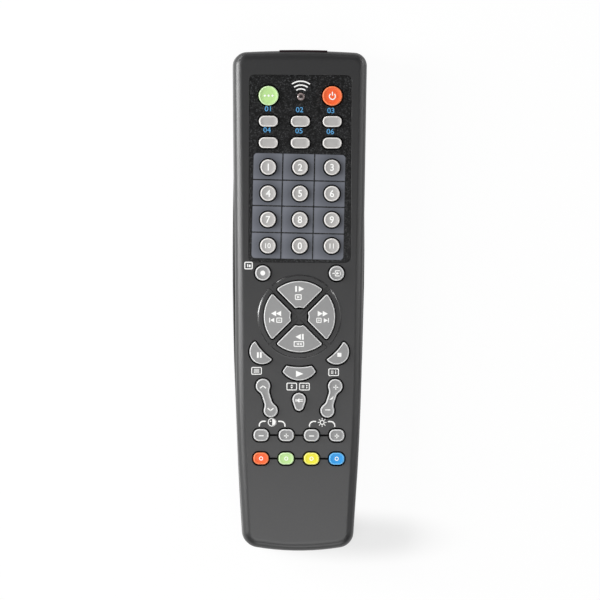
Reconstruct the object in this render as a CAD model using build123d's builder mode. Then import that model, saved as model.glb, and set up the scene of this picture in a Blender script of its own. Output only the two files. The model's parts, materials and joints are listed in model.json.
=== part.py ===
from build123d import *
import os
from math import atan2, degrees

os.makedirs("parts", exist_ok=True)

# Universal remote control, lying on its back. +Z points out of the keys, +Y to the emitter end.
# The origin is under the middle of the case, on the plane that it rests on. All sizes in mm.

# Case
shell_length = 189.7
parting_height = 11.0
parting_reveal = 0.25
shell_wall = 2.0
top_corner = 5.0
bottom_corner = 6.0
top_bow = 0.9
bottom_bow = 2.2
front_edge_radius = 3.3
rear_edge_radius = 4.6

# Full widths of the front shell: straight sides from the top to the palm, then one arc to the bottom.
# The rear shell swells out beyond it between two places down the sides.
width_top = 50.7
width_palm = 48.1
palm_drop = 110.0
width_bottom = 41.3
swell_reach = 0.6
swell_top_drop = 48.0
swell_drop = 86.0
swell_foot_drop = 144.0

# Lip that keeps the two shells in line
lip_height = 1.6
lip_gap = 0.15

# Overlay panel let into the front face
panel_width = 38.6
panel_length = 70.9
panel_drop = 9.3
panel_thickness = 0.5
panel_corner = 2.2
panel_gap = 0.15

# Emitter window in the top end, a little to the right of the middle
window_offset = 1.1
window_width = 18.2
window_low = 12.9
window_high = 20.8
window_proud = 0.3
window_flange = 0.8
window_flange_height = 4.6
window_gap = 0.1
window_depth = 3.0
emitter_offsets = (0.4, 7.3)
emitter_radius = 1.5
emitter_base = 7.6
emitter_height = 16.2
emitter_collar = 0.4
emitter_recess = 0.1
emitter_tip = 0.3
lead_width = 0.5
lead_length = 4.0
lead_spacing = 1.27

# Indicator lamp
lamp_offset = 0.2
lamp_drop = 17.45
lamp_radius = 1.45
lamp_gap = 0.15
lamp_proud = 0.25
lamp_collar = 0.5
lamp_collar_height = 0.8
lamp_bevel = 0.2

# Keys in general
key_gap = 0.3
key_height = 1.3
rim_chamfer = 0.25
key_travel = 1.0
lug_reach = 0.7
lug_width = 2.4
lug_thickness = 0.9
lug_gap = 0.2
stem_width = 1.8
stem_gap = 0.3
key_space = 4.1

# Columns and rows of keys: half spacing across, and distance down from the top end
column_pitch = 12.1
round_key_diameter = 7.4
round_key_drop = 17.15
mode_key_width = 7.1
mode_key_depth = 4.1
mode_key_corner = 1.9
mode_row_drops = (26.85, 35.0)
number_key_diameter = 5.8
number_row_drop = 44.25
number_row_pitch = 9.93
number_rows = 4
side_key_diameter = 5.65
side_key_offset = 14.0
side_key_drop = 84.4

# Round pad with four sector keys, and the three keys that curve about it
pad_drop = 100.9
pad_radius = 15.8
pad_height = 0.4
pad_slope = 0.35
pad_channel = 1.5
sector_radius = 13.5
sector_hub = 3.5
sector_spacing = 2.3
sector_corner = 0.6
crescent_offset = 14.1
crescent_drop = 114.2
crescent_radius = 4.75
curve_radius = 19.2
crescent_corner = 0.45
play_top_half = 4.8
play_side_half = 6.3
play_side_drop = 121.7
play_bottom_drop = 125.05
play_corner = 0.6

# Rockers and the egg key
rocker_top = (13.7, 127.2)
rocker_foot = (10.75, 136.5)
rocker_top_radius = 2.7
rocker_foot_radius = 2.6
rocker_waist = 2.9
rocker_blend = 3.0
egg_drop = 133.2
egg_width = 5.0
egg_length = 6.8
egg_tip_radius = 1.7

# Two lowest rows
row_key_width = 5.65
row_key_depth = 4.5
row_key_corner = 2.0
row_key_offsets = (-14.35, -4.8, 4.8, 14.35)
adjust_row_drop = 145.85
colour_row_drop = 154.7
row_groove_width = 0.6
row_groove_depth = 0.35

# Circuit board and keypad mat
board_width = 37.0
board_drop = 8.3
board_end_space = 28.4
board_clearance = 0.9
board_thickness = 1.2
board_corner = 1.5
mat_margin = 0.5
mat_top_drop = 12.0
mat_thickness = 1.0
boss_clearance = 0.4

# Case screws: a pair near the top end, and a pair above the battery bay
upper_screw_offset = 15.5
upper_screw_drop = 10.5
bay_screw_offset = 17.2
bay_screw_rise = 27.15
screw_shank_radius = 1.0
screw_head_radius = 2.1
screw_head_height = 1.5
screw_grip = 4.6
screw_engagement = 5.6
screw_clearance = 0.2
screw_fit = 0.05
front_boss_radius = 2.5
rear_boss_radius = 3.4
slot_width = 0.6
slot_depth = 0.7

# Cells and their bay
cell_radius = 5.25
cell_length = 44.5
cell_nub_radius = 1.9
cell_nub_length = 1.0
cell_spacing = 0.7
cell_gap = 0.35
spring_length = 5.0
spring_radius = 3.0
plate_thickness = 0.4
plate_margin = 0.6
bay_wall = 1.2
bay_end_space = 20.25

# Sliding battery cover
cover_width = 29.4
cover_gap = 0.25
cover_end_height = 7.0
rail_reach = 1.0
rail_low = 1.1
rail_thickness = 0.8
rail_end_margin = 7.0
finger_grooves = 6
finger_groove_pitch = 2.0
finger_groove_width = 1.0
finger_groove_depth = 0.5
finger_groove_length = 15.0
finger_groove_drop = 4.0

# Ribs of the rear shell that hold the board up and brace the bay
rib_thickness = 1.2
board_rib_drops = (25.0, 56.0, 108.0)
board_rib_reach = 2.2
bay_ribs_each_side = 3
bay_rib_pitch = 17.5
bay_rib_start = 11.85

# Board components, under the upper half of the board
chip_width = 7.5
chip_length = 10.3
chip_height = 1.6
chip_drop = 62.0
chip_legs = 7
chip_leg_width = 0.45
chip_leg_reach = 1.4
chip_leg_pitch = 1.27
resonator_width = 7.0
resonator_depth = 3.0
resonator_height = 5.5
resonator_place = (9.0, 44.0)
capacitor_radius = 2.5
capacitor_length = 7.0
capacitor_place = (-9.0, 36.0)

# Ends of the case, and the bay, which starts a set distance from the lower end
shell_top = (shell_length - window_proud) / 2
shell_bottom = shell_top - shell_length
bay_lower = shell_bottom + bay_end_space
bay_upper = bay_lower + cell_length + spring_length + 2 * plate_thickness

# Heights, stacked from the plane it rests on: cover rails, cells, bay, board, keys and face
rail_top = rail_low + rail_thickness
bay_floor = rail_top + cell_gap
cell_axis = bay_floor + cell_radius
bay_ceiling = cell_axis + cell_radius + cell_gap
board_bottom = bay_ceiling + bay_wall + board_clearance
board_top = board_bottom + board_thickness
mat_top = board_top + mat_thickness
stem_bottom = mat_top + key_travel + stem_gap
wall_inside = board_top + key_space
lug_top = wall_inside - lug_gap
lug_bottom = lug_top - lug_thickness
body_height = wall_inside + shell_wall
key_top = body_height + key_height
sector_top = key_top + pad_height
lip_top = parting_height + lip_height

# Half widths of the bay and of the cover's opening
cell_offset = cell_radius + cell_spacing / 2
bay_half = cell_offset + cell_radius + cell_gap
cover_half = cover_width / 2
opening_half = cover_half + cover_gap
rail_half = cover_half + rail_reach


def below(drop):
    # A distance down from the top end, as a place along Y
    return shell_top - drop


# Plan of the front shell
top_half = width_top / 2
bottom_half = width_bottom / 2
with BuildSketch() as front_plan:
    with BuildLine():
        upper_side = Line((top_half, shell_top - top_bow), (width_palm / 2, below(palm_drop)))
        foot = (bottom_half, shell_bottom + bottom_bow)
        lower_side = TangentArc(upper_side @ 1, foot, tangent=upper_side % 1)
        mirror(about=Plane.YZ)
        ThreePointArc((-top_half, shell_top - top_bow), (0, shell_top), upper_side @ 0)
        ThreePointArc((-bottom_half, shell_bottom + bottom_bow), (0, shell_bottom), foot)
    make_face()
    fillet(front_plan.vertices().group_by(Axis.Y)[-1], radius=top_corner)
    fillet(front_plan.vertices().group_by(Axis.Y)[0], radius=bottom_corner)

# Plan of the rear shell: the same, with a shallow swell on each side that starts and ends on it
slope = (top_half - width_palm / 2) / (palm_drop - top_bow)
swell_top_x = top_half - slope * (swell_top_drop - top_bow)
swell_x = top_half - slope * (swell_drop - top_bow) + swell_reach
foot_rise = below(swell_foot_drop) - lower_side.arc_center.Y
swell_foot_x = lower_side.arc_center.X + (lower_side.radius**2 - foot_rise**2) ** 0.5
with BuildSketch() as rear_plan:
    with BuildLine():
        swell = ThreePointArc(
            (swell_top_x, below(swell_top_drop)),
            (swell_x, below(swell_drop)),
            (swell_foot_x, below(swell_foot_drop)),
        )
        Polyline(swell @ 0, (0, below(swell_top_drop)), (0, below(swell_foot_drop)), swell @ 1)
    make_face()
    mirror(about=Plane.YZ)
    add(front_plan.sketch)


def body_block(inset, low, high):
    # The front shell's plan between two heights, drawn in by an inset
    with BuildPart() as block:
        with BuildSketch(Plane.XY.offset(low)):
            add(front_plan.sketch)
            offset(amount=-inset)
        extrude(amount=high - low)
    return block.part


def grown(outline, amount):
    # A plan outline offset outwards by an amount
    with BuildSketch() as wider:
        add(outline)
        offset(amount=amount)
    return wider.sketch


def save(part, name):
    # A label and a file for each finished piece
    part.label = name
    export_step(part, f"parts/{name}.step")


def round_plan(x, y, diameter):
    with BuildSketch() as plan:
        with Locations((x, y)):
            Circle(diameter / 2)
    return plan.sketch


def oval_plan(x, y, width, depth, corner):
    with BuildSketch() as plan:
        with Locations((x, y)):
            RectangleRounded(width, depth, corner)
    return plan.sketch


def lug_bar(x, y, width, turn=0):
    # Two lugs, one at each end of a bar, that catch under the edge of a key's hole
    with BuildSketch() as plan:
        with Locations(Location((x, y, 0), (0, 0, turn))):
            Rectangle(width + 2 * (key_gap + lug_reach), lug_width)
    return plan.sketch


pad_y = below(pad_drop)


def sector_plan(turn):
    # A quarter of a ring with parallel gaps on the diagonals
    apex = sector_spacing / 2 * 2**0.5
    far = sector_radius * 2
    with BuildSketch() as plan:
        with Locations((0, pad_y)):
            Circle(sector_radius)
            Circle(sector_hub, mode=Mode.SUBTRACT)
        with Locations(Location((0, pad_y, 0), (0, 0, turn))):
            Polygon((0, apex), (far, apex + far), (-far, apex + far), align=None, mode=Mode.INTERSECT)
        fillet(plan.vertices(), radius=sector_corner)
    return plan.sketch


def crescent_plan(side):
    # A disc with a bite that is concentric with the round pad
    with BuildSketch() as plan:
        with Locations((side * crescent_offset, below(crescent_drop))):
            Circle(crescent_radius)
        with Locations((0, pad_y)):
            Circle(curve_radius, mode=Mode.SUBTRACT)
        fillet(plan.vertices(), radius=crescent_corner)
    return plan.sketch


def play_plan():
    # Concave above, about the round pad, and bowed below
    arc_y = pad_y - (curve_radius**2 - play_top_half**2) ** 0.5
    side_y = below(play_side_drop)
    with BuildSketch() as plan:
        with BuildLine():
            ThreePointArc((-play_top_half, arc_y), (0, pad_y - curve_radius), (play_top_half, arc_y))
            Line((play_top_half, arc_y), (play_side_half, side_y))
            ThreePointArc((play_side_half, side_y), (0, below(play_bottom_drop)), (-play_side_half, side_y))
            Line((-play_side_half, side_y), (-play_top_half, arc_y))
        make_face()
        fillet(plan.vertices(), radius=play_corner)
    return plan.sketch


def rocker_ends(side):
    top = Vector(side * rocker_top[0], below(rocker_top[1]))
    foot = Vector(side * rocker_foot[0], below(rocker_foot[1]))
    return top, foot


def rocker_plan(side):
    # Two round ends joined by a narrower waist
    top, foot = rocker_ends(side)
    run = foot - top
    middle = top + run * 0.5
    turn = degrees(atan2(run.X, -run.Y))
    with BuildSketch() as plan:
        with Locations(top):
            Circle(rocker_top_radius)
        with Locations(foot):
            Circle(rocker_foot_radius)
        with Locations(Location(middle, (0, 0, turn))):
            Rectangle(rocker_waist, run.length)
        waist_points = plan.vertices().sort_by_distance(middle)[:4]
        fillet(waist_points, radius=rocker_blend)
    return plan.sketch


def egg_plan():
    with BuildSketch() as plan:
        with Locations((0, below(egg_drop) + (egg_length - egg_width) / 2)):
            Circle(egg_width / 2)
        with Locations((0, below(egg_drop) - egg_length / 2 + egg_tip_radius)):
            Circle(egg_tip_radius)
        make_hull()
    return plan.sketch


# Every key's plan and the plan of its lugs, by name
plans = {}
lugs = {}
stems = {}


def add_round_key(name, x, y, diameter):
    plans[name] = round_plan(x, y, diameter)
    lugs[name] = lug_bar(x, y, diameter)
    stems[name] = (x, y)


def add_oval_key(name, x, y, width, depth, corner):
    plans[name] = oval_plan(x, y, width, depth, corner)
    lugs[name] = lug_bar(x, y, width)
    stems[name] = (x, y)


def add_radial_key(name, plan, inner, outer, turn):
    # A key about the round pad: its bar runs along a radius, between the key's two curved edges
    middle = Vector((inner + outer) / 2, 0, 0).rotate(Axis.Z, turn) + Vector(0, pad_y, 0)
    plans[name] = plan
    lugs[name] = lug_bar(middle.X, middle.Y, outer - inner, turn)
    stems[name] = (middle.X, middle.Y)


add_round_key("set_key", -column_pitch, below(round_key_drop), round_key_diameter)
add_round_key("power_key", column_pitch, below(round_key_drop), round_key_diameter)
columns = (-column_pitch, 0, column_pitch)
for row, drop in enumerate(mode_row_drops):
    for column, x in enumerate(columns):
        name = f"mode_key_{3 * row + column + 1}"
        add_oval_key(name, x, below(drop), mode_key_width, mode_key_depth, mode_key_corner)
for row in range(number_rows):
    for column, x in enumerate(columns):
        y = below(number_row_drop + row * number_row_pitch)
        add_round_key(f"number_key_{3 * row + column + 1:02d}", x, y, number_key_diameter)
add_round_key("record_key", -side_key_offset, below(side_key_drop), side_key_diameter)
add_round_key("input_key", side_key_offset, below(side_key_drop), side_key_diameter)
sector_keys = ("step_forward_key", "rewind_key", "step_back_key", "forward_key")
for quarter, name in enumerate(sector_keys):
    add_radial_key(name, sector_plan(90 * quarter), sector_hub, sector_radius, 90 + 90 * quarter)
crescent_fall = crescent_drop - pad_drop
crescent_turn = degrees(atan2(crescent_fall, crescent_offset))
crescent_outer = (crescent_offset**2 + crescent_fall**2) ** 0.5 + crescent_radius
add_radial_key("pause_key", crescent_plan(-1), curve_radius, crescent_outer, 180 + crescent_turn)
add_radial_key("stop_key", crescent_plan(1), curve_radius, crescent_outer, -crescent_turn)
add_radial_key("play_key", play_plan(), curve_radius, play_bottom_drop - pad_drop, -90)
plans["mute_key"] = egg_plan()
lugs["mute_key"] = lug_bar(0, below(egg_drop), egg_width)
stems["mute_key"] = (0, below(egg_drop))
for number, x in enumerate(row_key_offsets):
    adjust_name = f"adjust_key_{number + 1}"
    add_oval_key(adjust_name, x, below(adjust_row_drop), row_key_width, row_key_depth, row_key_corner)
for name, x in zip(("red_key", "green_key", "yellow_key", "blue_key"), row_key_offsets):
    add_oval_key(name, x, below(colour_row_drop), row_key_width, row_key_depth, row_key_corner)
for name, side in (("programme_rocker", -1), ("volume_rocker", 1)):
    top, foot = rocker_ends(side)
    middle = (top + foot) / 2
    turn = degrees(atan2(foot.X - top.X, top.Y - foot.Y))
    plans[name] = rocker_plan(side)
    lugs[name] = lug_bar(middle.X, middle.Y, rocker_waist, turn)
    stems[name] = (middle.X, middle.Y)

# Each key has a cap with a bevelled rim, a bar with two lugs, and a stem; a rocker's stem is its pivot
for name, plan in plans.items():
    cap_top = sector_top if name in sector_keys else key_top
    foot_height = mat_top + stem_gap if name.endswith("rocker") else stem_bottom
    with BuildPart() as key:
        with BuildSketch(Plane.XY.offset(lug_top)):
            add(plan)
        extrude(amount=cap_top - lug_top)
        chamfer(key.faces().sort_by(Axis.Z)[-1].edges(), length=rim_chamfer)
        with BuildSketch(Plane.XY.offset(lug_bottom)):
            add(lugs[name])
        extrude(amount=lug_thickness)
        with BuildSketch(Plane.XY.offset(foot_height)):
            with Locations(stems[name]):
                Rectangle(stem_width, stem_width)
        extrude(amount=lug_bottom - foot_height)
    save(key.part, name)

# Plan of every key hole, shared by the front shell and the overlay panel
with BuildSketch() as key_holes:
    for plan in plans.values():
        add(grown(plan, key_gap))

screw_points = [(side * upper_screw_offset, below(upper_screw_drop)) for side in (-1, 1)]
screw_points += [(side * bay_screw_offset, bay_upper + bay_screw_rise) for side in (-1, 1)]
emitter_points = [(x, shell_top - emitter_base, emitter_height) for x in emitter_offsets]
lamp_point = (lamp_offset, below(lamp_drop))
panel_y = below(panel_drop) - panel_length / 2
window_middle = (window_low + window_high) / 2
window_size = window_high - window_low
screw_seat = lip_top - screw_grip

# Hollow inside the front shell, bevelled where the case is rounded
with BuildPart() as front_cavity:
    add(body_block(shell_wall, parting_height, wall_inside))
    chamfer(front_cavity.faces().sort_by(Axis.Z)[-1].edges(), length=front_edge_radius - shell_wall)

# Front shell: a tray with rounded edges, open below
with BuildPart() as front_shell:
    add(body_block(0, parting_height + parting_reveal, body_height))
    fillet(front_shell.faces().sort_by(Axis.Z)[-1].edges(), radius=front_edge_radius)
    # Raised round pad, cut across by two channels on the diagonals
    with BuildSketch(Plane.XY.offset(body_height)):
        with Locations((0, pad_y)):
            Circle(pad_radius)
    extrude(amount=pad_height)
    chamfer(front_shell.faces().sort_by(Axis.Z)[-1].edges(), length=pad_slope)
    with BuildSketch(Plane.XY.offset(body_height)):
        with Locations(Location((0, pad_y, 0), (0, 0, 45)), Location((0, pad_y, 0), (0, 0, -45))):
            Rectangle(2 * pad_radius + pad_channel, pad_channel)
    extrude(amount=pad_height, mode=Mode.SUBTRACT)
    # Recess for the overlay panel
    with BuildSketch(Plane.XY.offset(body_height)):
        with Locations((0, panel_y)):
            RectangleRounded(panel_width + 2 * panel_gap, panel_length + 2 * panel_gap, panel_corner)
    extrude(amount=-panel_thickness, mode=Mode.SUBTRACT)
    # Grooves that link the keys of the two lowest rows
    with BuildSketch(Plane.XY.offset(body_height)):
        with Locations((0, below(adjust_row_drop)), (0, below(colour_row_drop))):
            Rectangle(2 * row_key_offsets[-1], row_groove_width)
    extrude(amount=-row_groove_depth, mode=Mode.SUBTRACT)
    add(front_cavity.part, mode=Mode.SUBTRACT)
    # Rebate for the rear shell's lip
    add(body_block(shell_wall / 2, parting_height, lip_top), mode=Mode.SUBTRACT)
    # Bosses that the case screws cut into
    with BuildSketch(Plane.XY.offset(lip_top)):
        with Locations(*screw_points):
            Circle(front_boss_radius)
    extrude(amount=wall_inside - lip_top)
    with BuildSketch(Plane.XY.offset(lip_top)):
        with Locations(*screw_points):
            Circle(screw_shank_radius + screw_fit)
    extrude(amount=screw_engagement + screw_clearance, mode=Mode.SUBTRACT)
    # Openings for the keys, the lamp and the emitter window
    with BuildSketch(Plane.XY.offset(sector_top)):
        add(key_holes.sketch)
        with Locations(lamp_point):
            Circle(lamp_radius + lamp_gap)
    extrude(amount=wall_inside - sector_top - lug_gap, mode=Mode.SUBTRACT)
    opening_width = window_width + 2 * window_gap
    opening_depth = 2 * (window_depth + window_gap)
    with Locations((window_offset, shell_top, window_middle)):
        Box(opening_width, opening_depth, window_size + 2 * window_gap, mode=Mode.SUBTRACT)
save(front_shell.part, "front_shell")

# Overlay panel with the same key openings
with BuildPart() as overlay_panel:
    with BuildSketch(Plane.XY.offset(body_height - panel_thickness)):
        with Locations((0, panel_y)):
            RectangleRounded(panel_width, panel_length, panel_corner)
        add(key_holes.sketch, mode=Mode.SUBTRACT)
        with Locations(lamp_point):
            Circle(lamp_radius + lamp_gap, mode=Mode.SUBTRACT)
    extrude(amount=panel_thickness)
save(overlay_panel.part, "overlay_panel")

# Smoked window: a flange behind the case's wall, and a plate whose face follows the case's end
window_back = shell_top - window_depth
with BuildPart() as ir_window:
    with Locations((window_offset, window_back, window_middle)):
        Box(window_width + 2 * window_flange, 2 * shell_wall, window_flange_height)
    add(body_block(shell_wall + window_gap, parting_height, body_height), mode=Mode.INTERSECT)
    with Locations((window_offset, shell_top, window_middle)):
        Box(window_width, 2 * window_depth, window_size)
    add(body_block(-window_proud, parting_height, body_height), mode=Mode.INTERSECT)
    with BuildSketch(Plane((window_offset, window_back, window_middle), z_dir=(0, 1, 0))):
        Rectangle(2 * window_width, 2 * window_width)
    extrude(amount=-window_depth, mode=Mode.SUBTRACT)
    with Locations(*[Plane((x, y, z), z_dir=(0, 1, 0)) for x, y, z in emitter_points]):
        Cylinder(emitter_radius + window_gap, 4 * emitter_base, mode=Mode.SUBTRACT)
save(ir_window.part, "ir_window")

# Two emitters with a collar and a domed tip, each on two leads that lie on the board
emitter_reach = emitter_base + window_proud - emitter_recess
with BuildPart() as ir_leds:
    for x, y, z in emitter_points:
        with BuildSketch(Plane((x, y, z), z_dir=(0, 1, 0))):
            Circle(emitter_radius)
        extrude(amount=emitter_reach)
    chamfer(ir_leds.faces().filter_by(Axis.Y).group_by(Axis.Y)[-1].edges(), length=emitter_tip)
    for x, y, z in emitter_points:
        with BuildSketch(Plane((x, y, z), z_dir=(0, 1, 0))):
            Circle(emitter_radius + emitter_collar)
        extrude(amount=lead_width * 2)
        with Locations((x - lead_spacing / 2, y - lead_length / 2, board_top + lead_width / 2)):
            Box(lead_width, lead_length, lead_width)
        with Locations((x + lead_spacing / 2, y - lead_length / 2, board_top + lead_width / 2)):
            Box(lead_width, lead_length, lead_width)
save(ir_leds.part, "ir_leds")

# Indicator lamp, standing on the board and just proud of the overlay panel
with BuildPart() as indicator_led:
    with BuildSketch(Plane.XY.offset(board_top)):
        with Locations(lamp_point):
            Circle(lamp_radius)
    extrude(amount=body_height + lamp_proud - board_top)
    chamfer(indicator_led.faces().sort_by(Axis.Z)[-1].edges(), length=lamp_bevel)
    with BuildSketch(Plane.XY.offset(board_top)):
        with Locations(lamp_point):
            Circle(lamp_radius + lamp_collar)
    extrude(amount=lamp_collar_height)
save(indicator_led.part, "indicator_led")

# Circuit board, notched round the screw bosses, and the mat that lies on it
board_upper = below(board_drop)
board_lower = shell_bottom + board_end_space
board_length = board_upper - board_lower
board_y = (board_upper + board_lower) / 2
with BuildPart() as circuit_board:
    with BuildSketch(Plane.XY.offset(board_bottom)):
        with Locations((0, board_y)):
            RectangleRounded(board_width, board_length, board_corner)
        with Locations(*screw_points):
            Circle(rear_boss_radius + boss_clearance, mode=Mode.SUBTRACT)
    extrude(amount=board_thickness)
save(circuit_board.part, "circuit_board")

mat_upper = below(mat_top_drop)
mat_lower = board_lower + mat_margin
with BuildPart() as keypad_mat:
    with BuildSketch(Plane.XY.offset(board_top)):
        with Locations((0, (mat_upper + mat_lower) / 2)):
            RectangleRounded(board_width - 2 * mat_margin, mat_upper - mat_lower, board_corner)
        with Locations(*screw_points):
            Circle(rear_boss_radius + boss_clearance + mat_margin, mode=Mode.SUBTRACT)
        with Locations(lamp_point):
            Circle(lamp_radius + lamp_collar + boss_clearance, mode=Mode.SUBTRACT)
    extrude(amount=mat_thickness)
save(keypad_mat.part, "keypad_mat")

# Components on the underside of the board
with BuildPart() as controller_chip:
    with Locations((0, below(chip_drop), board_bottom - chip_height / 2)):
        Box(chip_width, chip_length, chip_height)
    leg_height = chip_height / 2
    with Locations((0, below(chip_drop), board_bottom - leg_height / 2)):
        with GridLocations(chip_width + chip_leg_reach, chip_leg_pitch, 2, chip_legs):
            Box(chip_leg_reach, chip_leg_width, leg_height)
save(controller_chip.part, "controller_chip")

with BuildPart() as resonator:
    with BuildSketch(Plane.XY.offset(board_bottom)):
        with Locations((resonator_place[0], below(resonator_place[1]))):
            SlotOverall(resonator_width, resonator_depth)
    extrude(amount=-resonator_height)
save(resonator.part, "resonator")

with BuildPart() as capacitor:
    capacitor_axis = board_bottom - capacitor_radius
    with Locations(Plane((capacitor_place[0], below(capacitor_place[1]), capacitor_axis), z_dir=(0, 1, 0))):
        Cylinder(capacitor_radius, capacitor_length)
save(capacitor.part, "capacitor")

# Size AAA cells, side by side and the opposite way round
cell_high = bay_upper - plate_thickness
cell_low = bay_lower + plate_thickness
for name, side in (("battery_left", -1), ("battery_right", 1)):
    # The left cell's nub points up the case, the right cell's down it
    nub_y = cell_high if side < 0 else cell_low
    towards = Vector(0, side, 0)
    with BuildPart() as cell:
        with BuildSketch(Plane((side * cell_offset, nub_y, cell_axis), z_dir=towards)):
            Circle(cell_nub_radius)
        extrude(amount=cell_nub_length)
        body_y = nub_y + side * cell_nub_length
        with BuildSketch(Plane((side * cell_offset, body_y, cell_axis), z_dir=towards)):
            Circle(cell_radius)
        extrude(amount=cell_length - cell_nub_length)
    save(cell.part, name)

# Contact springs at the flat end of each cell, as plain rods of a coil's size
with BuildPart() as battery_springs:
    for side in (-1, 1):
        spring_y = cell_low + spring_length / 2 if side < 0 else cell_high - spring_length / 2
        with Locations(Plane((side * cell_offset, spring_y, cell_axis), z_dir=(0, 1, 0))):
            Cylinder(spring_radius, spring_length)
save(battery_springs.part, "battery_springs")

# Contact plates: one for each cell at the upper end, one across both at the lower end
plate_width = 2 * (cell_radius - plate_margin)
plate_y = bay_upper - plate_thickness / 2
with BuildPart() as contact_plates:
    with Locations((-cell_offset, plate_y, cell_axis), (cell_offset, plate_y, cell_axis)):
        Box(plate_width, plate_thickness, plate_width)
    with Locations((0, bay_lower + plate_thickness / 2, cell_axis)):
        Box(plate_width + 2 * cell_offset, plate_thickness, plate_width)
save(contact_plates.part, "contact_plates")

# Case screws with a slotted head seated in the rear shell's bosses
with BuildPart() as case_screws:
    with BuildSketch(Plane.XY.offset(screw_seat)):
        with Locations(*screw_points):
            Circle(screw_shank_radius)
    extrude(amount=screw_grip + screw_engagement)
    with BuildSketch(Plane.XY.offset(screw_seat)):
        with Locations(*screw_points):
            Circle(screw_head_radius)
    extrude(amount=-screw_head_height)
    with BuildSketch(Plane.XY.offset(screw_seat - screw_head_height)):
        with Locations(*screw_points):
            Rectangle(2 * screw_head_radius, slot_width)
    extrude(amount=slot_depth, mode=Mode.SUBTRACT)
save(case_screws.part, "case_screws")

# Outer form of the rear shell and the hollow in it, shared by the rear shell and the battery cover
with BuildPart() as rear_form:
    with BuildSketch():
        add(rear_plan.sketch)
    extrude(amount=parting_height)
    fillet(rear_form.faces().sort_by(Axis.Z)[0].edges(), radius=rear_edge_radius)
with BuildPart() as rear_cavity:
    add(body_block(shell_wall, shell_wall, lip_top))
    chamfer(rear_cavity.faces().sort_by(Axis.Z)[0].edges(), length=rear_edge_radius - shell_wall)

# Ribs on each side: under the board's edges, and from the bay to the case
rib_reach = width_top / 2
board_ribs = [(side * rib_reach, below(drop)) for drop in board_rib_drops for side in (-1, 1)]
board_rib_length = 2 * (rib_reach - board_width / 2 + board_rib_reach)
bay_outer = bay_half + bay_wall
bay_rib_steps = [bay_rib_start + step * bay_rib_pitch for step in range(bay_ribs_each_side)]
bay_ribs = [(side * rib_reach, bay_upper - step) for step in bay_rib_steps for side in (-1, 1)]
bay_rib_length = 2 * (rib_reach - bay_outer + bay_wall / 2)
with BuildPart() as low_ribs:
    with BuildSketch(Plane.XY.offset(shell_wall / 2)):
        with Locations(*board_ribs):
            Rectangle(board_rib_length, rib_thickness)
    extrude(amount=parting_height - shell_wall / 2)
    with BuildSketch(Plane.XY.offset(bay_floor)):
        with Locations(*bay_ribs):
            Rectangle(bay_rib_length, rib_thickness)
    extrude(amount=parting_height - bay_floor)
    add(rear_form.part, mode=Mode.INTERSECT)
# Above the parting line the ribs stay clear of the front shell
with BuildPart() as high_ribs:
    with BuildSketch(Plane.XY.offset(parting_height)):
        with Locations(*board_ribs):
            Rectangle(board_rib_length, rib_thickness)
        with Locations(*bay_ribs):
            Rectangle(bay_rib_length, rib_thickness)
    extrude(amount=board_bottom - parting_height)
    add(body_block(shell_wall + lip_gap, parting_height, board_bottom), mode=Mode.INTERSECT)


def tail_box(half_width, upper, lower, low, high):
    # A block between two places along the case and two heights
    with BuildPart() as block:
        with Locations((0, (upper + lower) / 2, (low + high) / 2)):
            Box(2 * half_width, upper - lower, high - low)
    return block.part


# Rear shell: tray, lip, screw bosses, ribs and battery bay
bay_middle = (bay_upper + bay_lower) / 2
bay_length = bay_upper - bay_lower
with BuildPart() as rear_shell:
    add(rear_form.part)
    add(body_block(shell_wall / 2 + lip_gap, parting_height - shell_wall, lip_top))
    add(rear_cavity.part, mode=Mode.SUBTRACT)
    add(low_ribs.part)
    add(high_ribs.part)
    with BuildSketch(Plane.XY.offset(shell_wall / 2)):
        with Locations(*screw_points):
            Circle(rear_boss_radius)
    extrude(amount=lip_top - shell_wall / 2)
    # Bay: side walls and lower end above the cover's rails, upper end down to the floor
    with BuildSketch(Plane.XY.offset(bay_floor)):
        with Locations((0, bay_middle)):
            Rectangle(2 * bay_outer, bay_length + 2 * bay_wall)
    extrude(amount=bay_ceiling + bay_wall - bay_floor)
    with BuildSketch(Plane.XY.offset(shell_wall / 2)):
        with Locations((0, bay_upper + bay_wall / 2)):
            Rectangle(2 * bay_outer, bay_wall)
    extrude(amount=bay_ceiling - shell_wall / 2)
    with BuildSketch(Plane.XY.offset(bay_floor)):
        with Locations((0, bay_middle)):
            Rectangle(2 * bay_half, bay_length)
    extrude(amount=bay_ceiling - bay_floor, mode=Mode.SUBTRACT)
    # Opening for the cover, wider above its ledges, and open at the lower end
    ledge_top = rail_low - cell_gap / 2
    add(tail_box(opening_half, bay_upper, shell_bottom, 0, rail_low), mode=Mode.SUBTRACT)
    add(tail_box(rail_half + cover_gap, bay_upper, shell_bottom, ledge_top, bay_floor), mode=Mode.SUBTRACT)
    end_upper = shell_bottom + rear_edge_radius + bottom_bow
    end_height = cover_end_height + cover_gap
    add(tail_box(opening_half, end_upper, shell_bottom, 0, end_height), mode=Mode.SUBTRACT)
    # Screw recesses from behind
    with BuildSketch():
        with Locations(*screw_points):
            Circle(screw_head_radius + screw_clearance)
    extrude(amount=screw_seat, mode=Mode.SUBTRACT)
    with BuildSketch():
        with Locations(*screw_points):
            Circle(screw_shank_radius + screw_clearance)
    extrude(amount=lip_top, mode=Mode.SUBTRACT)
save(rear_shell.part, "rear_shell")

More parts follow.
